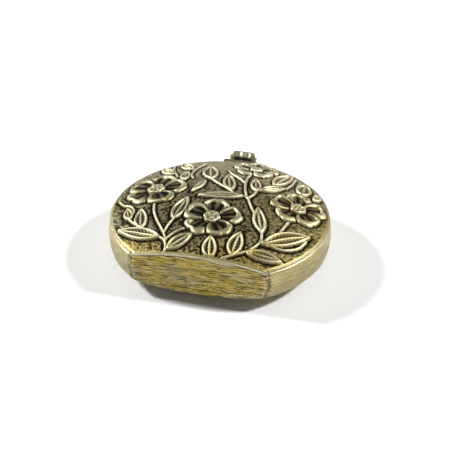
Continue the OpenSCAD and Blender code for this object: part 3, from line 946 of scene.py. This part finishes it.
def eye_ring(middle, outer=0.8, inner=0.41, half=0.35, edge=0.1):
    """A rounded ring about the bail's pin: a small loop turned once about the pin's axis."""
    section = np.array([
        (outer - edge, -half), (outer, -half + edge), (outer, half - edge), (outer - edge, half),
        (inner + edge, half), (inner, half - edge), (inner, -half + edge), (inner + edge, -half),
    ])
    turn = np.linspace(0, 2 * np.pi, 48, endpoint=False)[:, None]
    x = HINGE_X + middle + section[None, :, 1] + 0 * turn
    y = BAIL_Y + section[None, :, 0] * np.cos(turn)
    z = BAIL_Z + section[None, :, 0] * np.sin(turn)
    points = np.stack([x, y, z], axis=-1).reshape(-1, 3)
    faces = grid_faces(48, 8, closed=True) + [
        [47 * 8 + k, 47 * 8 + (k + 1) % 8, (k + 1) % 8, k] for k in range(8)]
    return points, outward(points, faces)


class NEEDLECASE_OT_fittings(bpy.types.Operator):
    """Finishes of the hinge, the pins, the collar and the catch"""
    bl_idname = "needlecase.fittings"
    bl_label = "Hinge, collar and catch"

    def execute(self, context):
        """These shapes are the frame's own; only their materials are made here."""
        _, colours = settings(context)
        hinge = satin_metal(colours, "hinge_metal", colours.olive, 0.5)
        for side in ("left", "middle", "right"):
            paint("base_knuckle_" + side, hinge)
        for side in ("left", "right"):
            paint("lid_knuckle_" + side, hinge)
        paint("bail_lug", hinge)
        steel = satin_metal(colours, "pin_steel", colours.steel, 0.4)
        paint("hinge_pin", steel)
        paint("bail_pin", steel)
        inner = brushed_metal(colours, "inner_metal", gold=0.8, across=(2.0, 2.0, 0.12), pitted=0.2)
        for node in ("inner_collar", "catch_spring", "catch_lug"):
            paint(node, inner)
        return {"FINISHED"}


class NEEDLECASE_OT_cushion(bpy.types.Operator):
    """The stuffed velvet cushion in the base"""
    bl_idname = "needlecase.cushion"
    bl_label = "Needle cushion"

    def execute(self, context):
        """A crowned pad whose edge rounds over, on the inside of the back's dome."""
        _, colours = settings(context)
        radius, depth = float(CUSHION_HIGH[1]), -float(CUSHION_LOW[1])
        x, y = d_grid(121, radius, depth)
        inside = np.minimum(radius - np.hypot(x, y), depth + y)
        roll = np.sqrt(np.clip(1 - (1 - np.clip(inside / 2.4, 0, 1)) ** 2, 0, 1))
        low = back_dome(x, y, LINER_GAP)
        crown = float(CUSHION_HIGH[2]) - 0.06
        dimple = 0.10 * value_noise(x, y, 4.2, 21) + 0.05 * value_noise(x, y, 1.9, 22)
        top = low + 0.15 + (crown - 0.15 + np.minimum(dimple, 0.05) - low) * (0.30 + 0.70 * roll)
        points, faces = plate(x, y, lambda a, b: top, lambda a, b: back_dome(a, b, LINER_GAP))
        pad = new_piece("velvet_cushion", points, faces, "needle_cushion", "base")
        pad.data.materials.append(pile_cloth(colours, "wine_velvet_pile", colours.wine))
        return {"FINISHED"}


class NEEDLECASE_OT_needle_leaves(bpy.types.Operator):
    """The two flannel leaves and the stitches that hold them"""
    bl_idname = "needlecase.needle_leaves"
    bl_label = "Needle leaves and stitches"

    def execute(self, context):
        """Each leaf is a flat-sided disc with a zigzag edge; its free front edge lifts in soft waves."""
        sizes, colours = settings(context)
        cloth = woven_cloth(colours, "cream_flannel_weave", colours.cream)
        for which, seed, loose in (("lower", 31, 0.35), ("upper", 32, 1.0)):
            self.leaf(which, seed, loose * sizes.loft / MM, sizes.tooth / MM, cloth)
        self.stitches(colours)
        return {"FINISHED"}

    def leaf(self, which, seed, loft_mm, tooth_mm, cloth, count=161, pitch=1.5, under=0.02, thick=0.34):
        """The edge steps in by a triangle wave along it, and the top rises by noise near the front."""
        node = "needle_leaf_" + which
        low, high = box_mm(node)
        radius = (high[0] - low[0]) / 2
        centre = high[1] - radius
        depth = centre - low[1]
        x, y = d_grid(count, radius, depth)
        r = np.hypot(x, y)
        safe = np.maximum(r, 1e-6)
        share = r / np.maximum(d_reach(x / safe, y / safe, radius, depth), 1e-6)
        zigzag = 0.5 - np.abs((np.arctan2(y, x) * radius / pitch) % 1 - 0.5)
        tooth = tooth_mm * zigzag * step(share, 0.97, 1.0)
        x, y = x * (1 - tooth / radius), y * (1 - tooth / radius)
        wave = np.clip(value_noise(x, y, 6.0, seed) + 0.3, 0, 1.3) * step(-y, -8.0, 12.0) * step(share, 0.3, 0.95)
        lift = low[2] + under + loft_mm * wave
        points, faces = plate(x, y, lambda a, b: lift + thick, lambda a, b: np.full(a.shape, low[2] + under))
        edge = rim_loop(count)
        points[count * count:count * count + len(edge), 2] = lift.ravel()[edge]
        points[:, 1] += centre
        leaf = new_piece("flannel_leaf_" + which, points, faces, node, "base")
        leaf.data.materials.append(cloth)

    def stitches(self, colours):
        """Short twisted threads: a round bar with two strands wound about it, sunk at both ends."""
        row_y, row_z, spacing, half_length = 18.4, 6.56, 2.6, 1.05
        points, faces = np.zeros((0, 3)), []
        s = np.linspace(-1, 1, 26)[:, None]
        t = np.linspace(0, 2 * np.pi, 16, endpoint=False)
        for k in range(-2, 3):
            twist = 0.17 + 0.035 * np.cos(2 * (t + 6.0 * s))
            taper = np.sqrt(np.clip(1.02 - s ** 6, 0, 1))
            x = k * spacing + half_length * s + 0 * t
            y = row_y - 0.25 * k * k + twist * taper * np.cos(t)
            z = row_z - 0.22 * s ** 4 + twist * taper * np.sin(t)
            tube, sides = loft(np.stack([x, y, z], axis=-1))
            faces += [[i + len(points) for i in side] for side in sides]
            points = np.concatenate([points, tube])
        thread = new_piece("leaf_stitch_threads", points, faces, "leaf_stitches", "base")
        thread.data.materials.append(pile_cloth(colours, "green_thread_twist", colours.thread, 0.08))


class NEEDLECASE_OT_lining(bpy.types.Operator):
    """The felt lining of the lid"""
    bl_idname = "needlecase.lining"
    bl_label = "Lid lining"

    def execute(self, context):
        """A felt sheet between the lid's dome and the same dome made smaller, thinning at its edge."""
        _, colours = settings(context)
        radius, depth = float(LINING_HIGH[1]), -float(LINING_LOW[1])
        x, y = d_grid(121, radius, depth)
        inside = np.minimum(radius - np.hypot(x, y), depth + y)
        puff = np.sqrt(np.clip(1 - (1 - np.clip(inside / 0.7, 0, 1)) ** 2, 0, 1))
        below = lid_dome(x, y, 0.55) - 0.12 - 0.42 * puff - 0.05 * value_noise(x, y, 3.0, 41)
        points, faces = plate(x, y, lambda a, b: below, lambda a, b: lid_dome(a, b, 0.52))
        felt = new_piece("lid_felt", points, faces, "lid_lining", "lid")
        felt.data.materials.append(pile_cloth(colours, "wine_felt_pile", colours.wine, 0.22, 0.6))
        return {"FINISHED"}


# Stage ---------------------------------------------------------------------------------

class NEEDLECASE_OT_stage(bpy.types.Operator):
    """Pale floor, two soft lights and the camera"""
    bl_idname = "needlecase.stage"
    bl_label = "Stage"

    def execute(self, context):
        """Floor a hair below the foot, white surroundings, and a camera 0.3 metres away."""
        _, colours = settings(context)
        context.scene.view_settings.view_transform = "Standard"
        self.floor(colours)
        self.camera(context)
        self.lights(context)
        return {"FINISHED"}

    def floor(self, colours):
        """A wide square, a hair below the foot."""
        half, low = 3.0, -0.04 * MM
        mesh = bpy.data.meshes.new("floor")
        corners = [(-half, -half, low), (half, -half, low), (half, half, low), (-half, half, low)]
        mesh.from_pydata(corners, [], [(0, 1, 2, 3)])
        floor = bpy.data.objects.new("floor", mesh)
        bpy.context.scene.collection.objects.link(floor)
        mesh.materials.append(floor_paper(colours))

    def camera(self, context):
        """The camera looks down from the front right, slightly turned about its own axis."""
        azimuth, elevation, roll = (math.radians(a) for a in (13.5, 32.0, -0.5))
        distance, target = 0.300, Vector((0, 0, 0.00825))
        back = Vector((
            math.sin(azimuth) * math.cos(elevation), -math.cos(azimuth) * math.cos(elevation), math.sin(elevation)))
        data = bpy.data.cameras.new("camera")
        data.sensor_width, data.lens = 36.0, 103.7
        data.shift_x, data.shift_y = 0.0152, -0.0080
        data.clip_start, data.clip_end = 0.01, 20.0
        camera = bpy.data.objects.new("camera", data)
        camera.location = target + back * distance
        turn = (-back).to_track_quat("-Z", "Y").to_matrix().to_4x4() @ Matrix.Rotation(-roll, 4, "Z")
        camera.rotation_euler = turn.to_euler()
        context.scene.collection.objects.link(camera)
        context.scene.camera = camera

    def lights(self, context):
        """Two soft boxes at the sides, slightly behind, and a world that is brightest at the horizon."""
        world = bpy.data.worlds.new("studio")
        world.use_nodes = True
        nodes, links = world.node_tree.nodes, world.node_tree.links
        sky = nodes["Background"]
        place, split = nodes.new("ShaderNodeTexCoord"), nodes.new("ShaderNodeSeparateXYZ")
        fall = nodes.new("ShaderNodeMapRange")
        fall.interpolation_type = "SMOOTHSTEP"
        for key, value in (("From Min", 0.0), ("From Max", 0.75), ("To Min", 0.48), ("To Max", 0.06)):
            fall.inputs[key].default_value = value
        links.new(place.outputs["Generated"], split.inputs["Vector"])
        links.new(split.outputs["Z"], fall.inputs["Value"])
        links.new(fall.outputs["Result"], sky.inputs["Strength"])
        sky.inputs["Color"].default_value = (1.0, 1.0, 1.0, 1.0)
        context.scene.world = world
        for name, place, size, power in (
            ("box_left", (-0.66, 0.06, 0.50), 0.12, 7.9),
            ("box_right", (0.58, 0.12, 0.56), 0.12, 6.9),
        ):
            data = bpy.data.lights.new(name, "AREA")
            data.shape, data.size, data.energy = "SQUARE", size, power
            light = bpy.data.objects.new(name, data)
            light.location = place
            light.rotation_euler = (-Vector(place)).to_track_quat("-Z", "Y").to_euler()
            context.scene.collection.objects.link(light)


# Add-on --------------------------------------------------------------------------------

OPERATORS = (
    NEEDLECASE_OT_stage, NEEDLECASE_OT_lid_plate, NEEDLECASE_OT_lid_edge, NEEDLECASE_OT_walls,
    NEEDLECASE_OT_back, NEEDLECASE_OT_bail, NEEDLECASE_OT_fittings, NEEDLECASE_OT_cushion,
    NEEDLECASE_OT_needle_leaves, NEEDLECASE_OT_lining,
)


class NEEDLECASE_PT_panel(bpy.types.Panel):
    """Sizes, colours and pieces of the needle case"""
    bl_label = "Needle Case"
    bl_idname = "NEEDLECASE_PT_panel"
    bl_space_type = "VIEW_3D"
    bl_region_type = "UI"
    bl_category = "Needle Case"

    def draw(self, context):
        """Lists the settings, then one button for each operator."""
        for group in settings(context):
            for name in group.__annotations__:
                self.layout.prop(group, name)
        for operator in OPERATORS:
            self.layout.operator(operator.bl_idname)


CLASSES = (NeedleCaseSizes, NeedleCaseColours, *OPERATORS, NEEDLECASE_PT_panel)


def register():
    """Adds the classes and the scene's settings."""
    for cls in CLASSES:
        bpy.utils.register_class(cls)
    bpy.types.Scene.needle_case_sizes = PointerProperty(type=NeedleCaseSizes)
    bpy.types.Scene.needle_case_colours = PointerProperty(type=NeedleCaseColours)


def unregister():
    """Removes the settings and the classes."""
    del bpy.types.Scene.needle_case_colours
    del bpy.types.Scene.needle_case_sizes
    for cls in reversed(CLASSES):
        bpy.utils.unregister_class(cls)


def main():
    """Makes every piece in order."""
    register()
    for operator in OPERATORS:
        group, name = operator.bl_idname.split(".")
        getattr(getattr(bpy.ops, group), name)()
    bpy.context.view_layer.update()


if __name__ == "__main__":
    main()
